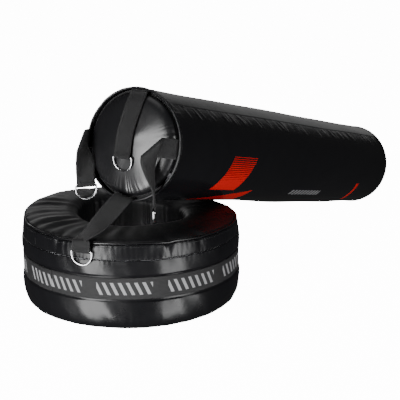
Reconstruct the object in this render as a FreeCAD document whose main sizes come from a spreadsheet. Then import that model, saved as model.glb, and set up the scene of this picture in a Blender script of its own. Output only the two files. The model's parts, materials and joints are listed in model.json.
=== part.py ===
"""Uppercut bag: a long filled bag that lies over its padded ring, ready to be hung or stood through it.

The row frame is in millimetres, +Z up. Its origin is the centre of the ring's base on the floor, and
+X runs along the bag in plan, from its strap end to the end that rests on the floor.
"""

import FreeCAD, Part
import math
import os
import re

import Sketcher
from FreeCAD import Matrix, Placement, Rotation, Vector

# ---- Driving dimensions, millimetres -------------------------------------------------------------
SIZES = {
    # The padded ring
    "ring_radius": 300,  # to the outside of the stitched rim
    "ring_belly": 305,  # where the waist webbing runs
    "seam_radius": 303,  # at the lower stitched seam of the upper band
    "base_radius": 270,
    "ring_height": 229,  # floor to the stitched rim
    "ring_crown": 9,  # how far the top panel stands above the rim
    "tunnel_radius": 158,
    "tunnel_round": 12,
    "band_swell": 1,  # how far the upper band stands out between its seams
    "seam_height": 195,
    "waist_foot": 90,
    "waist_width": 60,
    "waist_lap": 9,  # degrees of overlap where the webbing's ends meet
    "ring_foam": 25,
    "tunnel_foam": 12,
    "top_foam": 20,
    # The bag
    "bag_radius": 146,
    "bag_length": 1500,  # rim to rim
    "lid_dome": 38,
    "foot_dome": 34,
    "bag_foam": 24,
    "end_foam": 40,
    "liner": 1.5,
    # Sheet goods and trim
    "cover": 2.5,
    "welt": 3,  # radius of the piping
    "webbing": 2,  # one layer
    # The zip that lets the lid off, sunk in a groove round it
    "groove_width": 10,
    "groove_depth": 10,
    "zip_tape": 1,
    "zip_start": -60,  # degrees from the lowest point of the rim towards the left strap
    "zip_travel": 285,  # degrees
    "teeth_width": 4.4,
    "teeth_rise": 1.8,
    "slider_length": 5,  # degrees of arc
    "slider_wall": 1,
    "slider_rise": 4,
    "pull_length": 20,
    "pull_width": 4,
    "pull_thick": 1.2,
    # The four hanging straps and their rings
    "strap_width": 50,
    "top_length": 180,
    "left_drop": 148,
    "right_drop": 169,
    "bottom_drop": 29,  # from the strap's highest point on the ring's rim down to the bar
    "front_rise": 11,  # how far the stuffed ring may stand above its rim where the bag doesn't press it
    "tail_length": 80,
    "wire": 2.5,  # radius of the D-ring's steel
    "eye_leg": 9,
    "wire_bend": 3,  # radius of the D-ring's corners
    # Where the straps hinge: out from the strap end's rim plane, and up from the bag's axis
    "left_out": 36,
    "left_in": 34,  # inwards from its arm
    "left_up": 26,
    "left_arm": 12,
    "right_out": 60,
    "right_in": 45,
    "right_up": 10,
    "bottom_out": 14,
    "bottom_arm": 7,
    # Clearances
    "bar_play": 0.4,
    "side_play": 0.7,
    "slide_play": 0.35,
    "rest_gap": 1.5,
    "drape_gap": 1.5,
    # Where the bag lies on the ring
    "bag_reach": 463,  # from the strap end to where the bag bears on the ring's rim
    "bag_offset": 116,  # sideways from the ring's axis
}

doc = FreeCAD.newDocument("UppercutBag")
sheet = doc.addObject("Spreadsheet::Sheet", "Sizes")
for row, (alias, size) in enumerate(SIZES.items(), 1):
    sheet.set(f"A{row}", alias)
    sheet.set(f"B{row}", str(size))
    sheet.setAlias(f"B{row}", alias)
doc.recompute()

nodes = []  # the finished sub-parts, one per file


# ---- Reading and binding sizes -------------------------------------------------------------------
def bound(text):
    """An expression in the sheet's aliases, as other objects have to write it."""
    return re.sub(r"\b(?!(?:sin|cos|tan|asin|sqrt)\b)[a-z]\w*", r"Sizes.\g<0>", str(text))


def mm(text):
    """The present value of an expression in the sheet's aliases."""
    return float(sheet.evalExpression(str(text)))


def bind(thing, **sizes):
    """Tie properties of an object to expressions in the sheet's aliases."""
    for name, text in sizes.items():
        thing.setExpression(name, bound(text))
    return thing


def finish(thing, label, placement=None):
    """Name a finished sub-part, set it in its place and keep it for the files."""
    thing.Label = label
    if placement is not None:
        thing.Placement = placement
    nodes.append(thing)
    return thing


def axes(origin, x_axis, y_axis):
    """A placement with its X and Y axes along two square directions."""
    z_axis = x_axis.cross(y_axis)
    turn = Matrix(
        x_axis.x, y_axis.x, z_axis.x, origin.x,
        x_axis.y, y_axis.y, z_axis.y, origin.y,
        x_axis.z, y_axis.z, z_axis.z, origin.z,
        0, 0, 0, 1,
    )
    return Placement(turn)


# ---- How the bag lies: it bears on the ring's rear rim, and its far rim is on the floor ------------
WELT_CENTRE = "(bag_radius - welt / 2 + 1)"
rim_x = math.sqrt(mm("ring_radius - welt") ** 2 - mm("bag_offset") ** 2)
rim_z = mm("ring_height + rest_gap")
foot_z = mm("1.25 * welt")  # so that the foot's piping, which stands proud, just clears the floor
lean = math.asin((rim_z - foot_z) / mm("bag_length - bag_reach"))
ALONG = Vector(math.cos(lean), 0, -math.sin(lean))
OUT = ALONG * -1
UP = Vector(math.sin(lean), 0, math.cos(lean))
LEFT = Vector(0, 1, 0)
DOWN = Vector(0, 0, -1)
bag_at = (
    Vector(rim_x, -mm("bag_offset"), rim_z) - ALONG * mm("bag_reach") + UP * mm("bag_radius")
)
# The bag's own frame: Z along it from the strap end's rim, X to its lowest side, Y to its left.
BAG = Placement(bag_at, Rotation(LEFT, 90 + math.degrees(lean)))


def on_bag(out, left, up):
    """A point given outwards from the strap end's rim plane, to the left and upwards."""
    return bag_at + OUT * out + LEFT * left + UP * up


# ---- Ways of making a piece ----------------------------------------------------------------------
def arc_through(start, middle, end):
    """The sketch arc through three points, and whether it runs from end to start."""
    circle = Part.Arc(start, middle, end).toShape().Curve
    turn = (middle - start).cross(end - middle).z
    first, last = (start, end) if turn > 0 else (end, start)
    angles = [math.atan2(p.y - circle.Center.y, p.x - circle.Center.x) for p in (first, last)]
    if angles[1] < angles[0]:
        angles[1] += 2 * math.pi
    up = Part.Circle(circle.Center, Vector(0, 0, 1), circle.Radius)
    return Part.ArcOfCircle(up, angles[0], angles[1]), turn < 0


def outline(body, corners, plane="XZ_Plane"):
    """A closed sketch. Each corner is (x, y), or (x, y, via_x, via_y) where an arc leads to the next."""
    sketch = body.newObject("Sketcher::SketchObject", "Outline")
    origin_plane = next(f for f in body.Origin.OriginFeatures if f.Role == plane)
    sketch.AttachmentSupport = [(origin_plane, "")]
    sketch.MapMode = "FlatFace"
    points = [Vector(mm(c[0]), mm(c[1]), 0) for c in corners]
    starts = []
    for i, corner in enumerate(corners):
        here, there = points[i], points[(i + 1) % len(points)]
        if len(corner) == 2:
            line = sketch.addGeometry(Part.LineSegment(here, there))
            starts.append((line, 1, 2))
            continue
        via = Vector(mm(corner[2]), mm(corner[3]), 0)
        arc, backwards = arc_through(here, via, there)
        edge = sketch.addGeometry(arc)
        starts.append((edge, 2, 1) if backwards else (edge, 1, 2))
        mark = sketch.addGeometry(Part.Point(via), True)
        sketch.addConstraint(Sketcher.Constraint("PointOnObject", mark, 1, edge))
        pin_point(sketch, mark, 1, corner[2], corner[3])
    for i, (edge, start, end) in enumerate(starts):
        following, its_start, _ = starts[(i + 1) % len(starts)]
        sketch.addConstraint(Sketcher.Constraint("Coincident", edge, end, following, its_start))
        pin_point(sketch, edge, start, corners[i][0], corners[i][1])
    return sketch


def pin_point(sketch, edge, end, x_text, y_text):
    """Hold a point of a sketch at distances from its origin that follow the sheet."""
    for kind, text in (("DistanceX", x_text), ("DistanceY", y_text)):
        number = sketch.addConstraint(Sketcher.Constraint(kind, -1, 1, edge, end, mm(text)))
        sketch.setExpression(f"Constraints[{number}]", bound(text))


def turned(label, corners, placement=None, angle=None):
    """A body whose outline of (radius, height) corners is turned about its Z axis."""
    body = doc.addObject("PartDesign::Body", label)
    sketch = outline(body, corners)
    turn = body.newObject("PartDesign::Revolution", "Turn")
    turn.Profile = sketch
    turn.ReferenceAxis = (sketch, ["V_Axis"])
    turn.Angle = 360
    if angle is not None:
        turn.setExpression("Angle", bound(angle))
    sketch.Visibility = False
    return finish(body, label, placement)


def cylinder(radius, height, base=0, angle=None, start=0):
    """A cylinder standing on a height of the Z axis, or a sector of one."""
    piece = doc.addObject("Part::Cylinder", "Round")
    bind(piece, Radius=radius, Height=height)
    piece.setExpression("Placement.Base.z", bound(base))
    if angle is not None:
        piece.setExpression("Angle", bound(angle))
        piece.Placement.Rotation = Rotation(Vector(0, 0, 1), start)
    return piece


def cut(base, tool):
    piece = doc.addObject("Part::Cut", "Cut")
    piece.Base, piece.Tool = base, tool
    return piece


def fuse(pieces):
    piece = doc.addObject("Part::MultiFuse", "Joined")
    piece.Shapes = pieces
    return piece


def tube(inner, outer, height, base=0, angle=None, start=0):
    """A straight tube about Z, or a sector of one."""
    reach = 1 if angle is None else 0
    core = cylinder(inner, f"{height} + {2 * reach}", f"{base} - {reach}")
    return cut(cylinder(outer, height, base, angle, start), core)


def piping(label, radius, height, frame=Placement()):
    """A welt: round piping sewn into a circular seam at a height of the frame's Z axis."""
    welt = doc.addObject("Part::Torus", "Piping")
    bind(welt, Radius1=radius, Radius2="welt")
    return finish(welt, label, frame * Placement(Vector(0, 0, mm(height)), Rotation()))


def cap(radius, rise):
    """The middle point of a cap's arc, from the apex to its rim, as distances out and below the apex."""
    across = f"sqrt(({radius}) ^ 2 + ({rise}) ^ 2)"
    drop = f"({across} ^ 2 / (2 * ({rise})) * (1 - ({radius}) / {across}))"
    return f"{across} / 2", drop


# ---- The ring ------------------------------------------------------------------------------------
RIM = "(ring_height - 2 * welt)"  # where the upper band meets the rim's piping
PANEL_EDGE = "(ring_radius - 2 * welt)"
LIP = "(tunnel_radius + tunnel_round)"
CREST = f"(({PANEL_EDGE} + {LIP}) / 2)"
BEND = 1 - math.sqrt(0.5)  # how far an eighth of a turn falls, as a share of its radius
BASE_EDGE = "(base_radius + 2 * welt)"
WAIST_TOP = "(waist_foot + waist_width)"
FOAM_FACE = "(ring_radius - cover - ring_foam)"
PAD_FOOT = "(ring_height - cover - top_foam)"
TUNNEL_FOAM_FACE = "(tunnel_radius + cover + tunnel_foam)"


CURL = 0.72  # how far out of the curl its middle lies, and how far from its top


def curl(inset):
    """The middle of the side band's curl under the ring, for its outside or a face inset from it."""
    out = f"{BASE_EDGE} + {CURL} * (ring_belly - {BASE_EDGE}) - {inset}"
    return out, f"2 * welt + {1 - CURL:.2f} * (waist_foot - 2 * welt)"


turned("ring_base_panel", [
    ("tunnel_radius + cover", "0"),
    ("base_radius", "0"),
    ("base_radius", "cover"),
    ("tunnel_radius + cover", "cover"),
])
piping("ring_base_welt", "base_radius + welt", "welt")
turned("ring_side_band", [
    (BASE_EDGE, "2 * welt", *curl("0")),
    ("ring_belly", "waist_foot"),
    ("ring_belly", WAIST_TOP),
    ("seam_radius", "seam_height"),
    ("seam_radius - cover", "seam_height"),
    ("ring_belly - cover", WAIST_TOP),
    ("ring_belly - cover", "waist_foot", *curl("cover")),
    (f"{BASE_EDGE} - cover", "2 * welt"),
])
BAND_MIDDLE = "((ring_radius + seam_radius) / 2 + band_swell)"
turned("ring_upper_band", [
    ("seam_radius", "seam_height", BAND_MIDDLE, f"(seam_height + {RIM}) / 2"),
    ("ring_radius", RIM),
    ("ring_radius - cover", RIM, f"{BAND_MIDDLE} - cover", f"(seam_height + {RIM}) / 2"),
    ("seam_radius - cover", "seam_height"),
])
piping("ring_rim_welt", "ring_radius - welt", "ring_height - welt")
turned("ring_top_panel", [
    (PANEL_EDGE, "ring_height", CREST, "ring_height + ring_crown"),
    (LIP, "ring_height", f"tunnel_radius + {BEND} * tunnel_round", f"ring_height - {BEND} * tunnel_round"),
    ("tunnel_radius", "ring_height - tunnel_round"),
    ("tunnel_radius + cover", "ring_height - tunnel_round",
     f"tunnel_radius + cover + {BEND} * (tunnel_round - cover)",
     f"ring_height - cover - {BEND} * (tunnel_round - cover)"),
    (LIP, "ring_height - cover", CREST, "ring_height + ring_crown - cover"),
    (PANEL_EDGE, "ring_height - cover"),
])
finish(tube("tunnel_radius", "tunnel_radius + cover", "ring_height - tunnel_round"), "ring_tunnel_wall")
waist = tube("ring_belly", "ring_belly + webbing", "waist_width", "waist_foot")
LAP_AT = 163  # degrees round the ring, where its webbing's ends overlap
lap = tube(
    "ring_belly + webbing", "ring_belly + 2 * webbing", "waist_width", "waist_foot", "waist_lap", LAP_AT
)
finish(fuse([waist, lap]), "ring_waist_webbing")
turned("ring_outer_foam", [
    (f"{BASE_EDGE} - cover", "2 * welt", *curl("cover")),
    ("ring_belly - cover", "waist_foot"),
    ("ring_belly - cover", WAIST_TOP),
    ("seam_radius - cover", "seam_height"),
    ("ring_radius - cover", RIM),
    (PANEL_EDGE, RIM),
    (PANEL_EDGE, "ring_height - cover"),
    (FOAM_FACE, "ring_height - cover"),
    (FOAM_FACE, "waist_foot"),
    ("base_radius - ring_foam", "2 * welt"),
])
turned("ring_top_foam", [
    (FOAM_FACE, "ring_height - cover", CREST, "ring_height + ring_crown - 2 * cover"),
    (LIP, "ring_height - cover"),
    (LIP, PAD_FOOT),
    (FOAM_FACE, PAD_FOOT),
])
finish(
    tube("tunnel_radius + cover", TUNNEL_FOAM_FACE, f"{PAD_FOOT} - cover", "cover"), "ring_tunnel_foam"
)
turned("ring_filling", [
    (TUNNEL_FOAM_FACE, "cover"),
    ("base_radius - ring_foam", "cover"),
    ("base_radius - ring_foam", "2 * welt"),
    (FOAM_FACE, "waist_foot"),
    (FOAM_FACE, PAD_FOOT),
    (TUNNEL_FOAM_FACE, PAD_FOOT),
])

# ---- The bag -------------------------------------------------------------------------------------
LID = "(bag_radius - cover - groove_width)"
TAIL_FACE = "(bag_radius - cover - webbing)"  # the inside of the strap tails, and the foam's outside
TAPE_FOOT = "(groove_depth + zip_tape)"
FOOT_FOAM = "(bag_length - end_foam)"
FOOT_RIM = f"({WELT_CENTRE} - welt)"


def domed(radius, rise, apex, sign):
    """An arc's corner at a dome's apex, leading to its rim; sign is the side of the rim it rises to."""
    out, drop = cap(radius, rise)
    return "0", apex, out, f"{apex} - {sign} * {drop}"


def rim_to_apex(radius, rise, height, apex, sign):
    """An arc's corner at a dome's rim, leading to its apex."""
    out, drop = cap(radius, rise)
    return radius, height, out, f"{apex} - {sign} * {drop}"


finish(tube("bag_radius - cover", "bag_radius", "bag_length"), "bag_side_cover", BAG)
turned("bag_lid", [
    domed(LID, "lid_dome", "0 - lid_dome", -1),
    (LID, "0"),
    (LID, "groove_depth"),
    (f"{LID} - cover", "groove_depth"),
    rim_to_apex(f"({LID} - cover)", "(lid_dome - cover)", "0", "cover - lid_dome", -1),
    ("0", "cover - lid_dome"),
], BAG)
piping("bag_rim_welt", WELT_CENTRE, "0 - welt", BAG)
turned("bag_foot_panel", [
    domed(FOOT_RIM, "foot_dome", "bag_length + foot_dome", 1),
    (FOOT_RIM, "bag_length"),
    rim_to_apex(f"({FOOT_RIM} - cover)", "(foot_dome - cover)", "bag_length",
                "bag_length + foot_dome - cover", 1),
    ("0", "bag_length + foot_dome - cover"),
], BAG)
piping("bag_foot_welt", WELT_CENTRE, "bag_length + welt", BAG)
turned("bag_lid_foam", [
    domed(f"({LID} - cover)", "(lid_dome - cover)", "cover - lid_dome", -1),
    (f"{LID} - cover", "0"),
    (f"{LID} - cover", TAPE_FOOT),
    (TAIL_FACE, TAPE_FOOT),
    (TAIL_FACE, "end_foam"),
    ("0", "end_foam"),
], BAG)
turned("bag_foot_foam", [
    domed(f"({FOOT_RIM} - cover)", "(foot_dome - cover)", "bag_length + foot_dome - cover", 1),
    (f"{FOOT_RIM} - cover", "bag_length"),
    (TAIL_FACE, "bag_length"),
    (TAIL_FACE, FOOT_FOAM),
    ("0", FOOT_FOAM),
], BAG)
SLEEVE_FACE = f"({TAIL_FACE} - bag_foam)"
finish(tube(SLEEVE_FACE, TAIL_FACE, f"{FOOT_FOAM} - end_foam", "end_foam"), "bag_foam_sleeve", BAG)
sack = cut(
    cylinder(SLEEVE_FACE, f"{FOOT_FOAM} - end_foam", "end_foam"),
    cylinder(f"{SLEEVE_FACE} - liner", f"{FOOT_FOAM} - end_foam", "end_foam - liner"),
)
finish(sack, "bag_liner_sack", BAG)
turned("bag_filling", [
    ("0", "end_foam"),
    (f"{SLEEVE_FACE} - liner", "end_foam"),
    (f"{SLEEVE_FACE} - liner", f"{FOOT_FOAM} - liner"),
    ("0", f"{FOOT_FOAM} - liner"),
], BAG)

# ---- The lid's zip, in the bottom of the groove ---------------------------------------------------
finish(tube(f"{LID} - cover", TAIL_FACE, "zip_tape", "groove_depth"), "bag_zip_tape", BAG)
GROOVE_MIDDLE = f"(({LID} + {TAIL_FACE}) / 2)"
teeth = tube(
    f"{GROOVE_MIDDLE} - teeth_width / 2", f"{GROOVE_MIDDLE} + teeth_width / 2", "teeth_rise",
    "groove_depth - teeth_rise", "zip_travel + 2 * slider_length",
    mm("zip_start - slider_length"),
)
finish(teeth, "bag_zip_teeth", BAG)
INSIDE = f"(teeth_width / 2 + slide_play)"
OUTSIDE = f"({INSIDE} + slider_wall)"
SLIDER_TOP = "(groove_depth - teeth_rise - slide_play - slider_rise)"
CEILING = "(groove_depth - teeth_rise - slide_play)"
SKIRT = "(groove_depth - slide_play)"
slider_turn = Placement(Vector(), Rotation(Vector(0, 0, 1), mm("zip_start - slider_length / 2")))
turned("bag_zip_slider", [
    (f"{GROOVE_MIDDLE} - {OUTSIDE}", SLIDER_TOP),
    (f"{GROOVE_MIDDLE} + {OUTSIDE}", SLIDER_TOP),
    (f"{GROOVE_MIDDLE} + {OUTSIDE}", SKIRT),
    (f"{GROOVE_MIDDLE} + {INSIDE}", SKIRT),
    (f"{GROOVE_MIDDLE} + {INSIDE}", CEILING),
    (f"{GROOVE_MIDDLE} - {INSIDE}", CEILING),
    (f"{GROOVE_MIDDLE} - {INSIDE}", SKIRT),
    (f"{GROOVE_MIDDLE} - {OUTSIDE}", SKIRT),
], BAG * slider_turn, "slider_length")
# The pull lies along the groove on the slider; its frame is X along the tab, Y across the groove.
start = math.radians(mm("zip_start"))
pull_root = BAG.multVec(Vector(
    mm(GROOVE_MIDDLE) * math.cos(start),
    mm(GROOVE_MIDDLE) * math.sin(start),
    mm(f"{SLIDER_TOP} - slide_play - pull_thick / 2"),
))
RADIAL = BAG.Rotation.multVec(Vector(math.cos(start), math.sin(start), 0))
TANGENT = ALONG.cross(RADIAL)
tab = doc.addObject("Part::Box", "Tab")
bind(tab, Length="pull_length", Width="pull_width", Height="pull_thick")
tab.Placement.Base = Vector(-mm("pull_thick") / 2, -mm("pull_width") / 2, -mm("pull_thick") / 2)
hole = doc.addObject("Part::Cylinder", "Hole")
bind(hole, Radius="pull_width / 4", Height="pull_thick + 2")
hole.Placement.Base = Vector(mm("pull_length - pull_width"), 0, -mm("pull_thick") / 2 - 1)
finish(cut(tab, hole), "bag_zip_pull", axes(pull_root, TANGENT, RADIAL))


# ---- Straps: doubled webbing in flat runs, with an eye round the D-ring's bar ----------------------
THICK = "(2 * webbing)"
EYE_BORE = "(wire + bar_play)"
EYE = f"({EYE_BORE} + webbing)"
ARCH = "(strap_width / 2 + side_play + wire)"


def run(start, direction, across, length):
    """A flat length of doubled webbing along a direction, from a point on its middle line."""
    piece = doc.addObject("Part::Box", "Run")
    bind(piece, Width="strap_width", Height=THICK)
    piece.Length = length
    frame = axes(start, direction, across)
    corner = Vector(0, -mm("strap_width") / 2, -mm(THICK) / 2)
    piece.Placement = frame * Placement(corner, Rotation())
    return piece


def rod(centre, direction, radius, length):
    """A round bar about a point."""
    piece = doc.addObject("Part::Cylinder", "Rod")
    bind(piece, Radius=radius, Height=length)
    half = direction * (mm(length) / 2)
    piece.Placement = Placement(centre - half, Rotation(Vector(0, 0, 1), direction))
    return piece


def strap(label, points, across, bar_at):
    """Webbing along a route of points on its middle line, which ends in an eye round the bar."""
    pieces = []
    for here, there in zip(points, points[1:]):
        way = there - here
        pieces.append(run(here, way.normalize(), across, here.distanceToPoint(there)))
    pieces.append(rod(bar_at, across, EYE, "strap_width"))
    finish(cut(fuse(pieces), rod(bar_at, across, EYE_BORE, "strap_width + 2")), label)


def d_ring(label, bar_at, across, hang):
    """A steel D: a straight bar, two short legs and a half round arch that hangs from it."""
    pieces = [rod(bar_at, across, "wire", f"2 * ({ARCH} - wire_bend)")]
    for side in (-1, 1):
        way = across * side
        bend = doc.addObject("Part::Torus", "Bend")
        bind(bend, Radius1="wire_bend", Radius2="wire")
        bend.Angle3 = 90
        inner = bar_at + way * mm(f"{ARCH} - wire_bend") + hang * mm("wire_bend")
        bend.Placement = axes(inner, way, hang * -1)
        leg_middle = bar_at + way * mm(ARCH) + hang * mm("(wire_bend + eye_leg) / 2")
        pieces += [bend, rod(leg_middle, hang, "wire", "eye_leg - wire_bend")]
    arch = doc.addObject("Part::Torus", "Arch")
    bind(arch, Radius1=ARCH, Radius2="wire")
    arch.Angle3 = 180
    arch.Placement = axes(bar_at + hang * mm("eye_leg"), across, hang)
    finish(fuse(pieces + [arch]), label)


def flat(degrees, forward=-1):
    """A level direction, turned from -X (or +X) towards +Y."""
    return Vector(forward * math.cos(math.radians(degrees)), math.sin(math.radians(degrees)), 0)


# Each strap's tail is sewn inside the cover and comes out over the groove as a short stub.
RADIAN = 57.3  # degrees
SECTOR = f"({RADIAN} * strap_width / bag_radius)"  # degrees
CLOCK = {"bottom": 0, "left": 90, "top": 180, "right": 270}
PIVOT_OUT = mm("welt + drape_gap") + mm(THICK) / 2
STUB_MIDDLE = mm(f"{TAIL_FACE} - webbing")
ARM_MIDDLE = STUB_MIDDLE - mm("webbing")
ROOT_OUT = mm("welt / 6")  # arms start just outside the rim plane, inside the stub
right_root = on_bag(ROOT_OUT, -ARM_MIDDLE, 0)
right_pivot = on_bag(mm("right_out"), mm("right_in - bag_radius"), mm("right_up"))
for side, angle in CLOCK.items():
    tail = tube(TAIL_FACE, "bag_radius - cover", "tail_length", 0, SECTOR, angle - mm(SECTOR) / 2)
    stub = tube(f"{TAIL_FACE} - 1.5 * webbing", f"{WELT_CENTRE} - welt - 0.1", "welt", "0 - welt",
                SECTOR, angle - mm(SECTOR) / 2)
    for piece in (tail, stub):
        piece.Placement = BAG
    pieces = [tail, stub]
    if side == "left":
        pieces.append(run(on_bag(ROOT_OUT, ARM_MIDDLE, 0), OUT, UP, mm("left_arm")))
    if side == "bottom":
        pieces.append(run(on_bag(ROOT_OUT, 0, -ARM_MIDDLE), OUT, LEFT, mm("bottom_arm")))
    if side == "right":
        way = right_pivot - UP * mm("right_up") - right_root
        length = way.Length - 2 * mm(THICK)
        pieces.append(run(right_root, way.normalize(), UP, length))
    finish(fuse(pieces), f"strap_tail_{side}")

# The top strap lies down the lid's dome, at points on a circle about the dome's own centre.
ball = mm(f"({LID} ^ 2 + lid_dome ^ 2) / (2 * lid_dome)")


def over_dome(lift, degrees):
    """A point above the dome's upright middle line, by its angle above the bag's axis."""
    reach = ball + lift
    return on_bag(
        mm("lid_dome") - ball + reach * math.cos(math.radians(degrees)), 0,
        reach * math.sin(math.radians(degrees)),
    )


top_pivot = on_bag(PIVOT_OUT, 0, mm(f"{TAIL_FACE} - webbing"))
drape = mm(f"drape_gap + {THICK} / 2")
TOP_REST = 24  # degrees, where the strap first meets the dome
first_run = (over_dome(drape, TOP_REST) - top_pivot).Length
sweep = math.degrees((mm("top_length") - first_run) / (ball + drape))
RESTS = 4
route = [over_dome(drape, TOP_REST - sweep * i / RESTS) for i in range(RESTS + 1)]
top_bar = over_dome(mm(f"drape_gap + {EYE}"), TOP_REST - sweep)
strap("strap_top", [top_pivot] + route, LEFT, top_bar)
hang_sweep = math.degrees(mm(f"eye_leg + {ARCH}") / ball)
top_hang = over_dome(mm("wire + drape_gap"), TOP_REST - sweep - hang_sweep) - top_bar
d_ring("d_ring_top", top_bar, LEFT, top_hang.normalize())

LEFT_SPLAY, RIGHT_TURN, BOTTOM_TURN = 35, -31, 26.7  # degrees from the bag's own line in plan
left_pivot = on_bag(mm("left_out"), ARM_MIDDLE - mm("left_in"), mm("left_up"))
left_across = flat(LEFT_SPLAY)
left_top = left_pivot + left_across * (mm("strap_width") / 2 + 1)
left_bar = left_top + DOWN * mm("left_drop")
strap("strap_left", [left_top, left_bar], left_across, left_bar)
d_ring("d_ring_left", left_bar, left_across, DOWN)

right_across = flat(RIGHT_TURN)
right_bar = right_pivot + DOWN * mm("right_drop")
strap("strap_right", [right_pivot, right_bar], right_across, right_bar)
d_ring("d_ring_right", right_bar, right_across, DOWN)

# The bottom strap slopes down to the ring's rim, on edge at first and then flat, and hangs over it.
BOTTOM_TILT = -42  # degrees
FLAT_FROM, TILTED_TO = 0.5, 0.56  # shares of the slope
bottom_pivot = on_bag(PIVOT_OUT + mm("bottom_out"), 0, -ARM_MIDDLE - mm("webbing"))
slope_plan = flat(BOTTOM_TURN)
plan = Vector(bottom_pivot.x, bottom_pivot.y, 0)
clear = mm(f"ring_belly + {EYE} + drape_gap")
along = -plan.dot(slope_plan) + math.sqrt(
    plan.dot(slope_plan) ** 2 - plan.dot(plan) + clear ** 2
)
nose = plan + slope_plan * along + Vector(0, 0, mm(f"ring_height + {THICK} + drape_gap + rest_gap + front_rise"))
rim_out = Vector(nose.x, nose.y, 0).normalize()
rim_across = DOWN.cross(rim_out)
bottom_bar = nose + DOWN * mm("bottom_drop")
slope = nose - bottom_pivot
slope_across = Vector(slope_plan.y, -slope_plan.x, 0)
way = Vector(slope).normalize()
pieces = [
    run(bottom_pivot, way, Rotation(way, BOTTOM_TILT).multVec(slope_across), slope.Length * TILTED_TO),
    run(bottom_pivot + slope * FLAT_FROM, way, slope_across, slope.Length * (1 - FLAT_FROM)),
    run(nose + Vector(0, 0, 1), DOWN, rim_across, mm("bottom_drop") + 1),
    rod(bottom_bar, rim_across, EYE, "strap_width"),
]
finish(cut(fuse(pieces), rod(bottom_bar, rim_across, EYE_BORE, "strap_width + 2")), "strap_bottom")
d_ring("d_ring_bottom", bottom_bar, rim_across, DOWN)

# ---- Check and write -----------------------------------------------------------------------------
doc.recompute()
for thing in doc.Objects:
    if {"Invalid", "Error"} & set(thing.State):
        raise RuntimeError(f"{thing.Label} failed: {thing.State}")
for node in nodes:
    if node.Shape.isNull() or not node.Shape.isValid():
        raise RuntimeError(f"{node.Label} has no valid shape")

os.makedirs("parts", exist_ok=True)
for node in nodes:
    node.Shape.exportStep(f"parts/{node.Label}.step")
    foot = node.Shape.optimalBoundingBox().ZMin
    solids, volume = len(node.Shape.Solids), node.Shape.Volume / 1000
    print(f"{node.Label}: {solids} solid, {volume:.1f} cm3, lowest at {foot:.2f}")
print(f"{len(nodes)} sub-parts; the bag leans {math.degrees(lean):.2f} degrees")
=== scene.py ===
# %% [markdown]
# # An uppercut bag
# A long filled bag lies across the padded ring that is slid round it for training uppercuts. The
# engineering model gives every place and size. This file dresses it: it replaces the plain covers with
# sewn, puckered skins, and the straps with doubled webbing, and gives every surface a finish.
#
# The skins are worked out with numpy as grids of points. That way a fold is one more term in a formula,
# and two neighbouring skins meet because they use the same formula at their seam.

import bmesh
import bpy
import json
import math
import numpy as np
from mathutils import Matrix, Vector


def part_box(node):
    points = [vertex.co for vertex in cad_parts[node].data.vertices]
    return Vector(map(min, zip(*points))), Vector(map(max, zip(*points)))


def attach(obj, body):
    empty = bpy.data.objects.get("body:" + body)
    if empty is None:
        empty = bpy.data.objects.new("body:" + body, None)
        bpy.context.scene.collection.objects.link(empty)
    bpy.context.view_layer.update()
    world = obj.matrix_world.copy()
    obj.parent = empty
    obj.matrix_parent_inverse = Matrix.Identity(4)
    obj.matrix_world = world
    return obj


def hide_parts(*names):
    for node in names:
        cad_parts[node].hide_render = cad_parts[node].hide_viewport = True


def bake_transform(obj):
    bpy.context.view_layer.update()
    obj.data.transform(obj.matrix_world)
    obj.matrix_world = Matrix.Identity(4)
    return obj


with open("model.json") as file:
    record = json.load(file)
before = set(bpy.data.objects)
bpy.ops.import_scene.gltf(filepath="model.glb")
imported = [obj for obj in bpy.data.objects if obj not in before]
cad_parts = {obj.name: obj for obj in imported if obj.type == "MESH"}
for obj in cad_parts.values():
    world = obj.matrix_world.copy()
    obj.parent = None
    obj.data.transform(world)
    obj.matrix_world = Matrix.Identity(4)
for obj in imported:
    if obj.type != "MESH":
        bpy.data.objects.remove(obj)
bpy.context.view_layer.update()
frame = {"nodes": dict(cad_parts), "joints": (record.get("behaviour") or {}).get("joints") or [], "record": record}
nodes = frame["nodes"]
joints = {joint["name"]: joint for joint in frame["joints"]}
TURN = 2 * math.pi

# %% [markdown]
# ## Where things are
# The zip's joint turns about the bag's own axis, so it gives the bag's direction and the middle of its
# rim. Angles round the bag start at its lowest side and go by its left side to its top. Angles round the
# ring start at +X.

# %% The bag's and the ring's own measures, in metres
ALONG = np.array(joints["zip_run"]["axis"], float)
BAG_AT = np.array(joints["zip_run"]["pos_m"], float)
LEFT = np.array([0.0, 1.0, 0.0])
UP = np.cross(ALONG, LEFT)
BAG_R, BAG_LENGTH = 0.146, 1.500
LID_R, LID_RISE, SHOULDER, GROOVE = 0.1335, 0.038, 0.011, 0.010
FOOT_R, FOOT_RISE = 0.1425, 0.034
UNDER_COVER = BAG_R - 0.0062
SEAM_ANGLE = 220.0  # degrees round the bag
RIM_R, RIM_Z = 0.297, 0.226
SEAM_R = 0.303
WAIST_R, WAIST_LOW, WAIST_HIGH = 0.305, 0.090, 0.150
BORE_R = 0.158
print("the bag leans", round(math.degrees(math.asin(-ALONG[2])), 2), "degrees; up is", UP.round(3))


def on_bag(angle, radius, out):
    """Points by angle round the bag, distance from its axis, and distance outwards from its lid's rim."""
    angle, radius, out = np.broadcast_arrays(angle, radius, out)
    side = -np.cos(angle)[..., None] * UP + np.sin(angle)[..., None] * LEFT
    return BAG_AT - out[..., None] * ALONG + radius[..., None] * side


def on_ring(angle, radius, height):
    """Points by angle round the ring, distance from its axis and height above the floor."""
    angle, radius, height = np.broadcast_arrays(angle, radius, height)
    return np.stack([radius * np.cos(angle), radius * np.sin(angle), height], -1)


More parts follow.
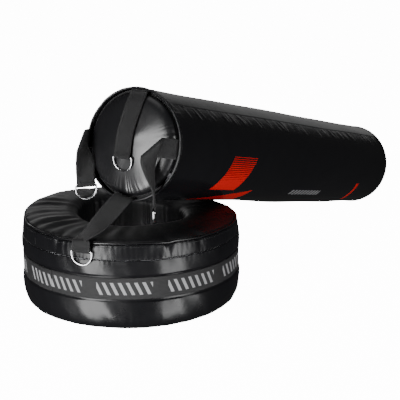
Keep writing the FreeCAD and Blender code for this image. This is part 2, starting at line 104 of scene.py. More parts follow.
# %% [markdown]
# ## Studio
# Black vinyl shows hardly any colour of its own. What gives it shape is what it mirrors, so the lights
# are large panels: one low at the left, one at the right, one overhead, a small one behind the bag at
# the left for the ring's padding, and a pale wall far behind that draws the bright strip along the bag's
# upper edge. The floor and the surroundings are white to the camera but are hardly mirrored in the
# vinyl, which keeps the black deep.

# %% Camera
CAMERA_AT = Vector((-2.112, -1.523, 0.957))
CAMERA_LOOKS = Vector((0.8247, 0.5054, -0.2538))
camera = bpy.data.objects.new("camera", bpy.data.cameras.new("camera"))
bpy.context.scene.collection.objects.link(camera)
camera.location = CAMERA_AT
camera.rotation_euler = CAMERA_LOOKS.to_track_quat("-Z", "Y").to_euler()
camera.data.lens = 85.5
camera.data.sensor_width = 36
bpy.context.scene.camera = camera


# %% Lights
def panel(name, place, target, size, power):
    """A rectangular light that faces a target and doesn't show itself to the camera."""
    data = bpy.data.lights.new(name, "AREA")
    data.shape = "RECTANGLE"
    data.size, data.size_y = size
    data.energy = power
    lamp = bpy.data.objects.new(name, data)
    bpy.context.scene.collection.objects.link(lamp)
    lamp.location = place
    lamp.rotation_euler = (Vector(target) - Vector(place)).to_track_quat("-Z", "Y").to_euler()
    lamp.visible_camera = False
    return lamp


panel("left_panel", (-2.75, 0.12, -0.30), (0, 0, -0.30), (1.25, 4.0), 185)
panel("right_panel", (-0.5, -2.75, -0.55), (0, 0, -0.55), (1.1, 3.6), 92)
panel("overhead_panel", (0.3, 0.2, 3.2), (0.3, 0, 0), (2.6, 1.6), 12)
panel("far_wall", (3.6, 1.05, 1.0), (0.4, 0, 0.5), (2.3, 1.6), 3.4)
panel("back_left_panel", (1.5, 2.3, 0.95), (-0.1, 0.1, 0.25), (1.4, 1.0), 7)
print(len(bpy.data.lights), "light panels")

# %% Floor and surroundings
WHITE_TO_CAMERA, WHITE_MIRRORED = 14.0, 0.03  # strengths of the glow
floor_mesh = bpy.data.meshes.new("floor")
reach = 40.0
floor_mesh.from_pydata(
    [(-reach, -reach, 0), (reach, -reach, 0), (reach, reach, 0), (-reach, reach, 0)], [], [(0, 1, 2, 3)]
)
floor = bpy.data.objects.new("floor", floor_mesh)
bpy.context.scene.collection.objects.link(floor)
for rays in ("visible_glossy", "visible_diffuse", "visible_shadow"):
    setattr(floor, rays, False)
floor_finish = bpy.data.materials.new("pale_floor")
floor_finish.use_nodes = True
floor_shader = floor_finish.node_tree.nodes["Principled BSDF"]
floor_shader.inputs["Base Color"].default_value = (0.9, 0.9, 0.9, 1)
floor_shader.inputs["Roughness"].default_value = 1
floor_shader.inputs["Specular IOR Level"].default_value = 0
floor_shader.inputs["Emission Color"].default_value = (1, 1, 1, 1)
floor_shader.inputs["Emission Strength"].default_value = WHITE_TO_CAMERA
floor_mesh.materials.append(floor_finish)

world = bpy.data.worlds.new("studio")
bpy.context.scene.world = world
world.use_nodes = True
world_nodes, world_links = world.node_tree.nodes, world.node_tree.links
backdrop = world_nodes["Background"]
backdrop.inputs["Color"].default_value = (1, 1, 1, 1)
rays = world_nodes.new("ShaderNodeLightPath")
seen_or_mirrored = world_nodes.new("ShaderNodeMapRange")
seen_or_mirrored.inputs["To Min"].default_value = WHITE_MIRRORED
seen_or_mirrored.inputs["To Max"].default_value = WHITE_TO_CAMERA
world_links.new(rays.outputs["Is Camera Ray"], seen_or_mirrored.inputs["Value"])
world_links.new(seen_or_mirrored.outputs["Result"], backdrop.inputs["Strength"])
print("the floor reaches", reach, "m each way")

# %% [markdown]
# ## Finishes
# Each finish is a small node tree. A shader reads bump from a texture, and textures need coordinates:
# the covers use Object coordinates, which are metres here, and cloth that follows a path uses its UV
# map, also in metres. The same value everywhere, such as a sheen, is set on the shader's own socket.

# %% Node helpers
class Finish:
    """A material with a Principled shader, and short ways to add and join nodes."""

    def __init__(self, name, colour, roughness, **sockets):
        self.material = bpy.data.materials.new(name)
        self.material.use_nodes = True
        self.nodes = self.material.node_tree.nodes
        self.links = self.material.node_tree.links
        self.shader = self.nodes["Principled BSDF"]
        self.shader.inputs["Base Color"].default_value = (*colour, 1)
        self.shader.inputs["Roughness"].default_value = roughness
        for socket, value in sockets.items():
            self.shader.inputs[socket.replace("_", " ")].default_value = value
        self.coordinates = self.nodes.new("ShaderNodeTexCoord")
        self.colour = colour

    def node(self, kind, **settings):
        """Adds a node; a setting is a value or a link for the input of that name, or a property."""
        made = self.nodes.new("ShaderNode" + kind)
        for key, value in settings.items():
            if key in made.inputs:
                if hasattr(value, "is_output"):
                    self.links.new(value, made.inputs[key])
                else:
                    made.inputs[key].default_value = value
            else:
                setattr(made, key, value)
        return made

    def join(self, source, target):
        self.links.new(source, target)
        return self

    def math(self, operation, first, second=0.0, third=0.0):
        """One step of arithmetic on numbers or sockets."""
        made = self.nodes.new("ShaderNodeMath")
        made.operation = operation
        for socket, value in zip(made.inputs, (first, second, third)):
            if hasattr(value, "is_output"):
                self.links.new(value, socket)
            else:
                socket.default_value = value
        return made.outputs[0]

    def noise(self, scale, detail=2.0, roughness=0.5, space="Object"):
        """Smooth noise, about 0 to 1, with `scale` blotches to the metre."""
        made = self.nodes.new("ShaderNodeTexNoise")
        made.inputs["Scale"].default_value = scale
        made.inputs["Detail"].default_value = detail
        made.inputs["Roughness"].default_value = roughness
        self.links.new(self.coordinates.outputs[space], made.inputs["Vector"])
        return made.outputs["Fac"]

    def spread(self, value, low, high, start=0.0, end=1.0):
        """A straight ramp from low to high as the value goes from start to end, and level outside."""
        made = self.nodes.new("ShaderNodeMapRange")
        for socket, number in (("From Min", start), ("From Max", end), ("To Min", low), ("To Max", high)):
            made.inputs[socket].default_value = number
        self.links.new(value, made.inputs["Value"])
        return made.outputs["Result"]

    def bump(self, height, distance, strength=1.0, under=None):
        """Shades as if the surface stood up by height * distance, on top of an earlier bump."""
        made = self.nodes.new("ShaderNodeBump")
        made.inputs["Distance"].default_value = distance
        made.inputs["Strength"].default_value = strength
        self.links.new(height, made.inputs["Height"])
        if under is not None:
            self.links.new(under, made.inputs["Normal"])
        self.links.new(made.outputs["Normal"], self.shader.inputs["Normal"])
        return made.outputs["Normal"]

    def tint(self, mask, colour, over=None):
        """Mixes a second colour over the base where the mask is 1."""
        made = self.nodes.new("ShaderNodeMix")
        made.data_type = "RGBA"
        self.links.new(mask, made.inputs["Factor"])
        if over is None:
            made.inputs["A"].default_value = (*self.colour, 1)
        else:
            self.links.new(over, made.inputs["A"])
        made.inputs["B"].default_value = (*colour, 1)
        self.links.new(made.outputs["Result"], self.shader.inputs["Base Color"])
        return made.outputs["Result"]

    def fed_by(self, socket):
        """What already feeds one of the shader's sockets."""
        return self.shader.inputs[socket].links[0].from_socket


def scaled(colour, times):
    """A colour made lighter or darker."""
    return tuple(channel * times for channel in colour)


# %% [markdown]
# ### Coated vinyl
# Boxing covers are a woven cloth with a plastic skin. Up close the skin has a fine pebble, and it
# creases in short soft wrinkles. Real geometry makes the big folds, so the shader adds only the pebble,
# small creases, and patches that hands have rubbed duller.

# %% Vinyl finishes
DEEP_BLACK, DULL_BLACK = (0.0045, 0.0045, 0.0053), (0.0055, 0.0055, 0.0062)
PEBBLE = 0.00006  # metres high


def vinyl(name, colour, roughness, uneven, crease, mirror=0.5):
    """Roughness wanders by `uneven` either way, and the creases are `crease` metres high."""
    finish = Finish(name, colour, roughness, Specular_IOR_Level=mirror)
    rubbed = finish.noise(9.0, 4.0, 0.6)
    wandering = finish.spread(rubbed, roughness - uneven, roughness + uneven, 0.3, 0.7)
    finish.join(wandering, finish.shader.inputs["Roughness"])
    finish.tint(finish.spread(finish.noise(23.0, 3.0), 0.0, 0.5), scaled(colour, 1.9))
    grain = finish.bump(finish.noise(1400.0, 1.0), PEBBLE, 0.5)
    finish.bump(finish.noise(34.0, 3.0, 0.45), crease, 0.8, under=grain)
    return finish


bag_vinyl = vinyl("bag_vinyl", DEEP_BLACK, 0.24, 0.03, 0.0004)
lid_vinyl = vinyl("lid_vinyl", DEEP_BLACK, 0.33, 0.03, 0.0005, mirror=0.75)
matt_vinyl = vinyl("ring_matt_vinyl", DULL_BLACK, 0.52, 0.06, 0.0010, mirror=0.36)
gloss_vinyl = vinyl("ring_gloss_vinyl", DEEP_BLACK, 0.30, 0.05, 0.0010, mirror=0.40)
piping_vinyl = vinyl("piping_vinyl", DULL_BLACK, 0.30, 0.05, 0.0008)
print("the glossy vinyl's nodes:", len(gloss_vinyl.nodes))

# %% [markdown]
# ### Marks on the bag
# The cover carries a hatched red block, a red wedge under it, a red bar near the foot and a row of grey
# dashes. They are drawn by arithmetic on the bag's UV map: the first coordinate runs along the bag and
# the second runs round it from its top, in metres. Each shape is a product of "is this coordinate
# between two lines" tests. Below the cover's long seam the vinyl is slack, so it wrinkles there.

# %% Tests on a coordinate
def between(finish, value, low, high):
    """1 where the value lies between two numbers, else 0."""
    above = finish.math("GREATER_THAN", value, low)
    return finish.math("MULTIPLY", above, finish.math("LESS_THAN", value, high))


def repeats(finish, value, per_metre, share):
    """1 over the first share of each repeat of the value, else 0."""
    place = finish.math("FRACT", finish.math("MULTIPLY", value, per_metre))
    return finish.math("LESS_THAN", place, share)


def all_of(finish, first, *others):
    """The product of several tests, 1 only where all of them are."""
    for other in others:
        first = finish.math("MULTIPLY", first, other)
    return first


# %% Red block, wedge and bar
bag_uv = bag_vinyl.node("SeparateXYZ")
bag_vinyl.join(bag_vinyl.coordinates.outputs["UV"], bag_uv.inputs[0])
along, around = bag_uv.outputs[0], bag_uv.outputs[1]
slant = bag_vinyl.math("MULTIPLY_ADD", around, 0.42, along)
stripe = bag_vinyl.math("FRACT", bag_vinyl.math("MULTIPLY", around, 165.0))
hatch = bag_vinyl.math("GREATER_THAN", stripe, bag_vinyl.spread(around, 0.75, 0.0, 0.236, 0.318))
block = all_of(
    bag_vinyl, between(bag_vinyl, slant, 0.385, 0.525), between(bag_vinyl, around, 0.234, 0.345), hatch
)
wedge_top = bag_vinyl.math("MULTIPLY_ADD", along, -0.22, 0.4530)
wedge = all_of(
    bag_vinyl, between(bag_vinyl, slant, 0.300, 0.640),
    bag_vinyl.math("GREATER_THAN", around, wedge_top), bag_vinyl.math("LESS_THAN", around, 0.408),
)
bar_lean = bag_vinyl.math("MULTIPLY_ADD", around, -0.15, along)
foot_bar = all_of(
    bag_vinyl, between(bag_vinyl, bar_lean, 1.217, 1.237), between(bag_vinyl, around, 0.30, 0.39)
)
red = bag_vinyl.math("MAXIMUM", bag_vinyl.math("MAXIMUM", block, wedge), foot_bar)
print("the bag's vinyl has", len(bag_vinyl.nodes), "nodes with its red marks")

# %% Grey dashes, and the marks' colours
dashes = all_of(
    bag_vinyl, repeats(bag_vinyl, slant, 42.0, 0.62),
    between(bag_vinyl, along, 0.757, 0.985), between(bag_vinyl, around, 0.335, 0.357),
)
with_red = bag_vinyl.tint(red, (0.62, 0.008, 0.006), over=bag_vinyl.fed_by("Base Color"))
bag_vinyl.tint(dashes, (0.20, 0.20, 0.205), over=with_red)

# %% Wrinkles below the long seam
SEAM_AT = math.radians(SEAM_ANGLE - 180) * BAG_R
stretched = bag_vinyl.node(
    "CombineXYZ",
    X=bag_vinyl.math("MULTIPLY", bag_vinyl.math("MULTIPLY_ADD", around, -0.55, along), 42.0),
    Y=bag_vinyl.math("MULTIPLY", around, 11.0),
)
slack = bag_vinyl.node("TexNoise", Vector=stretched.outputs[0], Scale=1.0, Detail=1.5)
wrinkles = all_of(
    bag_vinyl, between(bag_vinyl, around, SEAM_AT, SEAM_AT + 0.050),
    bag_vinyl.spread(around, 1.0, 0.0, SEAM_AT, SEAM_AT + 0.045),
    bag_vinyl.spread(slack.outputs["Fac"], 0.0, 1.0, 0.50, 0.72),
)
bag_vinyl.bump(wrinkles, 0.004, 0.9, under=bag_vinyl.fed_by("Normal"))
print("the seam runs", round(SEAM_AT, 3), "m round from the bag's top")


# %% [markdown]
# ### Webbing
# Webbing is woven with thick warp ribs along its length, crossed by fine picks. Two sines on the UV map
# give that relief, and the same sines paint its crests lighter and its valleys darker as painted light and
# shade. The waist webbing shows strong cross ribs and a light woven row of slanted bars.

# %% Webbing finishes
def webbing_finish(name, colour, rib_pitch, pick_pitch, roughness=0.62):
    """Relief = sin(turn * v / rib pitch) + 0.6 sin(turn * u / pick pitch) + fuzz, u along and v across."""
    finish = Finish(name, colour, roughness, Sheen_Weight=0.06, Sheen_Roughness=0.4)
    uv = finish.node("SeparateXYZ")
    finish.join(finish.coordinates.outputs["UV"], uv.inputs[0])
    ribs = finish.math("SINE", finish.math("MULTIPLY", uv.outputs[1], TURN / rib_pitch))
    picks = finish.math("SINE", finish.math("MULTIPLY", uv.outputs[0], TURN / pick_pitch))
    relief = finish.math("MULTIPLY_ADD", picks, 0.6, ribs)
    fuzz = finish.math("MULTIPLY_ADD", finish.noise(900.0, 2.0, space="UV"), 0.8, relief)
    finish.bump(fuzz, 0.00035, 0.8)
    # Painted light and shade: the colour is lighter on the rib and pick crests and darker in the valleys between
    # them.
    finish.tint(finish.spread(relief, 0.0, 0.55, -1.4, 1.4), scaled(colour, 1.9))
    finish.uv = uv
    return finish


strap_webbing = webbing_finish("strap_webbing", (0.0026, 0.0026, 0.0030), 0.0021, 0.0026)
waist_webbing = webbing_finish("waist_webbing", (0.0072, 0.0072, 0.0078), 0.0034, 0.0030)
length_along, width_across = waist_webbing.uv.outputs[0], waist_webbing.uv.outputs[1]
leaning = waist_webbing.math("MULTIPLY_ADD", width_across, 0.45, length_along)
woven = all_of(
    waist_webbing, repeats(waist_webbing, leaning, 48.0, 0.42),
    repeats(waist_webbing, length_along, 5.35, 0.78),
    between(waist_webbing, width_across, -0.0165, 0.0165),
    waist_webbing.spread(waist_webbing.noise(600.0, 2.0, space="UV"), 0.55, 1.0, 0.3, 0.7),
)
waist_webbing.tint(woven, (0.38, 0.38, 0.39), over=waist_webbing.fed_by("Base Color"))
print("the waist webbing's nodes:", len(waist_webbing.nodes))

# %% [markdown]
# ### Metal, thread and the hidden fillings
# The rings are nickel-plated wire. Foam, packed textile and liner cloth are never seen unless the bag is
# opened, but they get their own finishes too, so that a cutaway would look right.


# %% Remaining finishes
def speckled(name, colour, roughness, scale, depth, dark=0.7, **sockets):
    """Spots `dark` times the colour, `scale` to the metre, with a relief `depth` metres deep."""
    finish = Finish(name, colour, roughness, **sockets)
    spots = finish.noise(scale, 3.0, 0.6)
    finish.tint(finish.spread(spots, 0.0, 1.0, 0.35, 0.65), scaled(colour, dark))
    finish.bump(spots, depth, 0.7)
    return finish


ring_steel = speckled("ring_steel", (0.78, 0.78, 0.80), 0.16, 300.0, 0.00003, 0.85, Metallic=1.0)
zip_metal = speckled("zip_metal", (0.45, 0.45, 0.47), 0.28, 500.0, 0.00003, 0.8, Metallic=1.0)
zip_teeth = speckled("zip_teeth", (0.012, 0.012, 0.013), 0.35, 700.0, 0.00004, 0.7)
thread = speckled("thread", (0.030, 0.030, 0.032), 0.55, 2500.0, 0.0001, 0.6)
foam = speckled("foam", (0.50, 0.51, 0.53), 0.95, 420.0, 0.0005, 0.8)
textile_fill = speckled("textile_fill", (0.30, 0.29, 0.28), 0.95, 90.0, 0.002, 0.5)
liner_cloth = webbing_finish("liner_cloth", (0.45, 0.43, 0.38), 0.0012, 0.0012, 0.9)
zip_tape = webbing_finish("zip_tape", (0.012, 0.012, 0.013), 0.0012, 0.0016, 0.7)
print(len(bpy.data.materials), "finishes so far")


# %% [markdown]
# ## Making skins from grids
# `skin` turns a grid of points into a mesh. It closes the grid where asked, turns the faces to look away
# from an inside point, and gives the sheet a real thickness.

# %% Grid to mesh
def object_from(name, points, faces, corner_uv, finish, merge):
    """A smooth-shaded mesh object; where asked, points that coincide are made one."""
    mesh = bpy.data.meshes.new(name)
    mesh.from_pydata(points.reshape(-1, 3).tolist(), [], faces)
    layer = mesh.uv_layers.new(name="UVMap")
    layer.data.foreach_set("uv", np.ascontiguousarray(corner_uv, np.float32).ravel())
    if merge:
        work = bmesh.new()
        work.from_mesh(mesh)
        bmesh.ops.remove_doubles(work, verts=work.verts, dist=1e-6)
        bmesh.ops.dissolve_degenerate(work, edges=work.edges, dist=1e-7)
        work.to_mesh(mesh)
        work.free()
    mesh.polygons.foreach_set("use_smooth", np.ones(len(mesh.polygons), bool))
    mesh.materials.append(finish.material)
    piece = bpy.data.objects.new(name, mesh)
    bpy.context.scene.collection.objects.link(piece)
    return piece


def skin(name, points, uv, inside, finish, closed=(False, True), thickness=0.0018, merge=False):
    """A sheet over a grid: quad (i, j) joins four neighbouring points; uv has one more row or column
    where the grid is closed. Faces look away from the inside point of each place."""
    rows, cols = points.shape[:2]
    i, j = np.meshgrid(
        np.arange(rows if closed[0] else rows - 1), np.arange(cols if closed[1] else cols - 1), indexing="ij"
    )
    i2, j2 = (i + 1) % rows, (j + 1) % cols
    corners = [(i, j), (i2, j), (i2, j2), (i, j2)]
    uv_corners = [(i, j), (i + 1, j), (i + 1, j + 1), (i, j + 1)]
    a, b, c, d = (points[k] for k in corners)
    facing = (np.cross(c - a, d - b) * ((a + c) / 2 - np.broadcast_to(inside, points.shape)[i, j])).sum(-1)
    if facing.sum() < 0:
        corners.reverse()
        uv_corners.reverse()
    quads = np.stack([p * cols + q for p, q in corners], -1).reshape(-1, 4)
    corner_uv = np.stack([uv[k] for k in uv_corners], 2).reshape(-1, 2)
    piece = object_from(name, points, quads.tolist(), corner_uv, finish, merge)
    if thickness:
        shell = piece.modifiers.new("thickness", "SOLIDIFY")
        shell.thickness, shell.offset = thickness, -1
    return piece


def wrapped_uv(rows_at, cols_at):
    """UV of a grid from its distances down the rows and across the columns, in metres."""
    v, u = np.meshgrid(rows_at, cols_at, indexing="ij")
    return np.stack([u, v], -1)


def round_grid(cols):
    """The angles of a closed grid's columns, and the same with the first repeated a turn later."""
    angles = np.arange(cols) * TURN / cols
    return angles, np.append(angles, TURN)


# %% [markdown]
# ### Unevenness
# Sewn skins are never even. Two ingredients are enough: `waves`, a sum of a few cosines that closes on
# itself round a circle, and `gathers`, rounded ridges with tight valleys between them, as cloth makes
# where a long edge is sewn to a short one.

# %% Waves and gathers
def waves(angle, counts, seed):
    """Sum over n of size_n * cos(n * angle + start_n), with seeded sizes and starts, about -1 to 1."""
    rng = np.random.default_rng(seed)
    total = np.zeros_like(angle)
    for count in counts:
        total = total + rng.uniform(0.5, 1.0) * np.cos(count * angle + rng.uniform(0, TURN))
    return total / (0.75 * math.sqrt(len(counts)) * 1.3)


def gathers(angle, count, seed):
    """Ridges 0 to 1 high: |cos(count / 2 * angle + wander)| to a power, with sizes that drift."""
    wander = 1.6 * waves(angle, (3, 5, 8, 13), seed) + 0.7 * waves(angle, (17, 23, 29), seed + 1)
    ridge = np.abs(np.cos(count / 2 * angle + wander)) ** 1.4
    drift = 0.55 + 0.45 * waves(angle, (4, 7, 11, 19), seed + 2)
    return ridge * np.clip(drift, 0.1, 1.2)


def near(angle, centre, width):
    """A bell over angle: 1 at a centre in degrees, falling off over a width in degrees, round the turn."""
    apart = (np.degrees(angle) - centre + 180) % 360 - 180
    return np.exp(-((apart / width) ** 2))


def tucks(angle, *places):
    """A sum of bells, each given by its weight, its centre and its width."""
    return sum(weight * near(angle, centre, width) for weight, centre, width in places)


def smooth_step(x):
    """0 up to x = 0, 1 from x = 1, and 3x^2 - 2x^3 between."""
    x = np.clip(x, 0, 1)
    return x * x * (3 - 2 * x)


def puckers(angle, distance, count, size, reach, seed, start=0.004):
    """Gathers beside a seam: they rise within `start` of it and die out over `reach`, in metres."""
    return size * gathers(angle, count, seed) * np.exp(-distance / reach) * smooth_step(distance / start)


def smooth_path(points, count):
    """A Catmull-Rom curve through points: on each span a cubic whose ends' slopes are half the
    difference of the neighbours. The samples are even in the parameter."""
    p = np.asarray(points, float)
    p = np.vstack([2 * p[0] - p[1], p, 2 * p[-1] - p[-2]])
    t = np.linspace(0, len(points) - 1 - 1e-9, count)
    k = t.astype(int)
    f = (t - k)[:, None]
    a, b, c, d = p[k], p[k + 1], p[k + 2], p[k + 3]
    return 0.5 * (2 * b + (c - a) * f + (2 * a - 5 * b + 4 * c - d) * f**2 + (3 * b - a - 3 * c + d) * f**3)


def run_length(path):
    """The distance along a path at each of its points."""
    steps = np.linalg.norm(np.diff(path, axis=0), axis=1)
    return np.concatenate([[0], np.cumsum(steps)])


# %% [markdown]
# ## The ring's top
# The top cover is one matt sheet. It rises from the rim seam over the padding, rolls over a soft lip and
# goes down inside the hole, where it is held in pleats. Its section is two quarter superellipses and the
# hole's wall. Folds run along the section, strongest on the left, and where the bag bears on the far
# side the padding is pressed down: there the height is held just under the bag's own surface.

# %% Shape shared by the ring's skins
def ring_swell(angle):
    """How far the stuffed ring stands out of true round its side, in metres."""
    return 0.0009 * waves(angle, (2, 3, 5, 9), 11)


BEARS_AT, PUFFED_AT = -23.0, 95.0  # degrees round the ring: the bag's place, and the highest padding
LEAST_GAP = 0.003  # between the ring's skins and the bag


def unpressed(angle):
    """0 where the bag bears on the ring, rising to 1 away from it."""
    return 1 - near(angle, BEARS_AT, 62)


def puffed(angle):
    """How far the padding that the bag displaces stands up beside it, in metres."""
    return 0.011 * near(angle, PUFFED_AT, 48)


def rim_height(angle):
    """How far the rim seam rises and dips, in metres: it stands higher where the bag doesn't press it,
    and is pinched down at a few places."""
    pinch = tucks(angle, (1, 176, 2.6), (1, 234, 2.2), (0.8, 252, 3.0), (0.7, 146, 3))
    uneven = 0.0012 * waves(angle, (5, 8, 13, 21), 12)
    return 0.0125 * unpressed(angle) + puffed(angle) + uneven - 0.0016 * pinch


def under_bag(points):
    """The height of the bag's underside over each point: the axis height less half of its upright chord."""
    along_bag = (points[..., 0] - BAG_AT[0]) / ALONG[0]
    axis_height = BAG_AT[2] + ALONG[2] * along_bag
    beside = np.abs(points[..., 1] - BAG_AT[1])
    chord = np.sqrt(np.clip(BAG_R**2 - beside**2, 0, None)) / ALONG[0]
    far_above = 9.0
    return np.where(beside < BAG_R, axis_height - chord, far_above)


def press_under_bag(points, gap):
    """Lowers points that would come nearer than a gap to the bag's underside, with a soft limit."""
    limit = under_bag(points) - gap
    blend = 0.004
    over = points[..., 2] - limit
    lowered = np.where(over > -blend, (over + blend) ** 2 / (4 * blend), 0)
    pressed = points.copy()
    pressed[..., 2] = np.where(over > blend, limit, points[..., 2] - np.clip(lowered, 0, None))
    return pressed


# %% Section of the ring's top
OUTER_ROWS, LIP_ROWS, WALL_ROWS = 30, 34, 20


def top_section():
    """Radius and height of the top's section: a quarter superellipse from the rim up to the crest, one
    from the crest over the lip, then the hole's wall down to the floor."""
    crest_r, crest_z, lip_r, lip_drop = 0.190, 0.2375, 0.1495, 0.026
    turn = np.linspace(0, math.pi / 2, OUTER_ROWS)
    out = np.stack([
        crest_r + (RIM_R - 0.0025 - crest_r) * np.cos(turn) ** (2 / 2.3),
        RIM_Z + 0.0015 + (crest_z - RIM_Z - 0.0015) * np.sin(turn) ** (2 / 2.3),
    ], -1)
    turn = np.linspace(0, math.pi / 2, LIP_ROWS)[1:]
    lip = np.stack([
        crest_r - (crest_r - lip_r) * np.sin(turn) ** (2 / 2.6),
        crest_z - lip_drop + lip_drop * np.cos(turn) ** (2 / 2.6),
    ], -1)
    wall_z = np.linspace(crest_z - lip_drop, 0.0015, WALL_ROWS)[1:]
    wall_r = BORE_R - (BORE_R - lip_r) * smooth_step((wall_z - 0.11) / (crest_z - lip_drop - 0.11))
    wall = np.stack([wall_r, wall_z], -1)
    return np.vstack([out, lip, wall])


section = top_section()
down = run_length(section)
slope = np.gradient(section, axis=0)
slope /= np.linalg.norm(slope, axis=1)[:, None]
normal_r, normal_z = slope[:, 1:], -slope[:, :1]
print("from the rim over the lip to the floor:", down[-1].round(3), "m")

# %% Folds, pleats and padding of the ring's top
angles, angles_closed = round_grid(560)
A, from_rim = np.meshgrid(angles, down, indexing="xy")
section_r, section_z = section[:, :1], section[:, 1:]
left_heavy = 0.30 + 0.9 * near(A, 140, 48) + 0.5 * near(A, 20, 60)
fold_angle = A + 0.03 * np.sin(from_rim / 0.03)
folds = 0.0022 * left_heavy * waves(fold_angle, (23, 31, 38), 21) * np.exp(-((from_rim - 0.055) / 0.055) ** 2)
edge = puckers(A, from_rim, 74, 0.0013 * (0.5 + left_heavy), 0.011, 22)
pleats_from, pleats_at = down[OUTER_ROWS + 10], down[OUTER_ROWS + 30]
pleats = 0.0034 * (gathers(A, 38, 24) - 0.4) * smooth_step((from_rim - pleats_from) / 0.03)
pleats = pleats * np.exp(-((from_rim - pleats_at) / 0.11) ** 2)
pinch = -0.004 * tucks(A, (1, 234, 2.4), (1, 176, 2.8), (1, 252, 2.5)) * np.exp(-from_rim / 0.02)
broad = 0.0016 * waves(A, (3, 4, 7), 25) * smooth_step(from_rim / 0.03)
lift = folds + edge + pinch + broad + np.where(from_rim > pleats_from, pleats, 0)
lift = np.where(section_z < 0.17, np.minimum(lift, 0.0022), lift)
stands = smooth_step((section_z - 0.12) / 0.09)
padding = (0.0135 * unpressed(A) + puffed(A)) * stands
near_rim = np.exp(-from_rim / 0.02)
print("folds and pleats reach", lift.max().round(4), "m out and", -lift.min().round(4), "m in")

# %% Ring top
radius = section_r + normal_r * lift + ring_swell(A) * np.exp(-from_rim / 0.03)
height = section_z + normal_z * lift + rim_height(A) * near_rim + padding * (1 - near_rim)
top_points = press_under_bag(on_ring(A, radius, height), LEAST_GAP)
inside = on_ring(angles, 0.228, 0.12)[None]
ring_top = skin("ring_top_skin", top_points, wrapped_uv(down, angles_closed * 0.25), inside, matt_vinyl)
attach(ring_top, "ring")
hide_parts("ring_top_panel", "ring_tunnel_wall")
print("ring top spans", top_points[..., 2].min().round(4), "to", top_points[..., 2].max().round(4))

# %% [markdown]
# ## The ring's glossy bands
# Two bands of shinier vinyl wrap the side. The upper one is narrow, between the rim's piping and a
# second stitched seam, and its lower neighbour goes behind the webbing and curls under the ring. Along a
# seam the needle pulls the sheet into many short puckers, so both bands use gathers that die out within a
# couple of centimetres of each stitched edge.


# %% Grid of a band
def band(section_points, rows, cols, radius):
    """The grid of a band round the ring: its section, the angles, the distances from its top edge, and
    its UV, measured round at a radius."""
    section = smooth_path(section_points, rows)
    angles, angles_closed = round_grid(cols)
    A, from_top = np.meshgrid(angles, run_length(section), indexing="xy")
    uv = wrapped_uv(from_top[:, 0], angles_closed * radius)
    return section[:, :1], section[:, 1:], A, from_top, uv


# %% Upper band
section_r, section_z, A, from_top, uv = band(
    [(0.2972, 0.2222), (0.3000, 0.2165), (0.3022, 0.2095), (0.3036, 0.2025), (0.3032, 0.1958)],
    18, 1300, SEAM_R,
)
from_foot = from_top[-1] - from_top
edges = puckers(A, from_top, 118, 0.0011, 0.007, 31, 0.003)
edges += puckers(A, from_foot, 132, 0.0013, 0.006, 36, 0.003)
pinch = tucks(A, (1, 234, 1.6), (1, 176, 2.0), (0.8, 252, 2.2), (0.6, 180.5, 1.2), (0.6, 146, 2))
creases = 0.0006 * waves(A + 4.4 * from_top, (13, 19, 28), 36)
lap = 0.0016 * smooth_step((np.degrees(A) - 158.0) / 0.5) * smooth_step((171.0 - np.degrees(A)) / 6.0)
out = edges - 0.0050 * pinch * np.exp(-from_top / 0.012) + creases + lap + ring_swell(A) + 0.0008
height = section_z + rim_height(A) * (1 - smooth_step(from_top / from_top[-1]))
upper_points = press_under_bag(on_ring(A, section_r + out, height), LEAST_GAP)
inside = on_ring(A[0], 0.25, 0.2)[None]
ring_upper = skin("ring_upper_skin", upper_points, uv, inside, gloss_vinyl)
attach(ring_upper, "ring")
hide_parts("ring_upper_band")
print("the upper band is", from_top[-1, 0].round(4), "m wide")

# %% Side band
section_r, section_z, A, from_top, uv = band(
    [(0.3030, 0.1950), (0.3052, 0.186), (0.3062, 0.173), (0.3052, 0.158), (0.3038, 0.149), (0.3036, 0.120),
     (0.3038, 0.0905), (0.3060, 0.082), (0.3070, 0.066), (0.3056, 0.046), (0.3008, 0.026), (0.2935, 0.0115),
     (0.2850, 0.0052), (0.2765, 0.0045)],
    74, 640, WAIST_R,
)
from_foot = from_top[-1] - from_top
edges = puckers(A, from_top, 132, 0.0013, 0.007, 41, 0.003)
edges += puckers(A, from_foot, 60, 0.0044, 0.020, 46, 0.003)
WAIST_MIDDLE = (WAIST_LOW + WAIST_HIGH) / 2
off_waist = smooth_step((np.abs(section_z - WAIST_MIDDLE) - 0.030) / 0.008)
creases = 0.0008 * (waves(A + 1.9 * section_z, (15, 21, 29), 46) + 1) * off_waist
broad = 0.0009 * (1 + waves(A - 0.9 * section_z, (5, 8, 11), 47)) * off_waist
side_points = on_ring(A, section_r + edges + creases + broad + ring_swell(A), section_z)
tucked_up = 0.0030 * (gathers(A, 60, 46) - 0.2) * np.exp(-from_foot / 0.014) * smooth_step(from_foot / 0.006)
side_points[..., 2] += tucked_up
inside = on_ring(A[0], 0.25, 0.12)[None]
ring_side = skin("ring_side_skin", side_points, uv, inside, gloss_vinyl)
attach(ring_side, "ring")
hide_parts("ring_side_band")
print("the side band is", from_top[-1, 0].round(4), "m wide, with its turn under the ring")


# %% [markdown]
# ## Things carried along a path
# Piping, straps and wire are all a section carried along a path. `swept` places the section's first
# coordinate along a given "across" direction and its second along the path's own normal, which is the
# across direction turned a quarter about the path.

# %% Sweep
def rounded_strip(width, thickness, bevel=0.0005, per_side=5):
    """A flat closed section: a rectangle with cut corners and a few points across its faces."""
    w, t = width / 2, thickness / 2
    across = np.linspace(-w + bevel, w - bevel, per_side)
    top = np.stack([across, np.full_like(across, t)], -1)
    end = np.array([[w, t - bevel], [w, -t + bevel]])
    return np.vstack([top, end, top[::-1] * [1, -1], -end])


def round_section(radius, count=12):
    """A circle: radius times the cosine and the sine of even angles."""
    turn = np.arange(count) * TURN / count
    return np.stack([radius * np.cos(turn), radius * np.sin(turn)], -1)


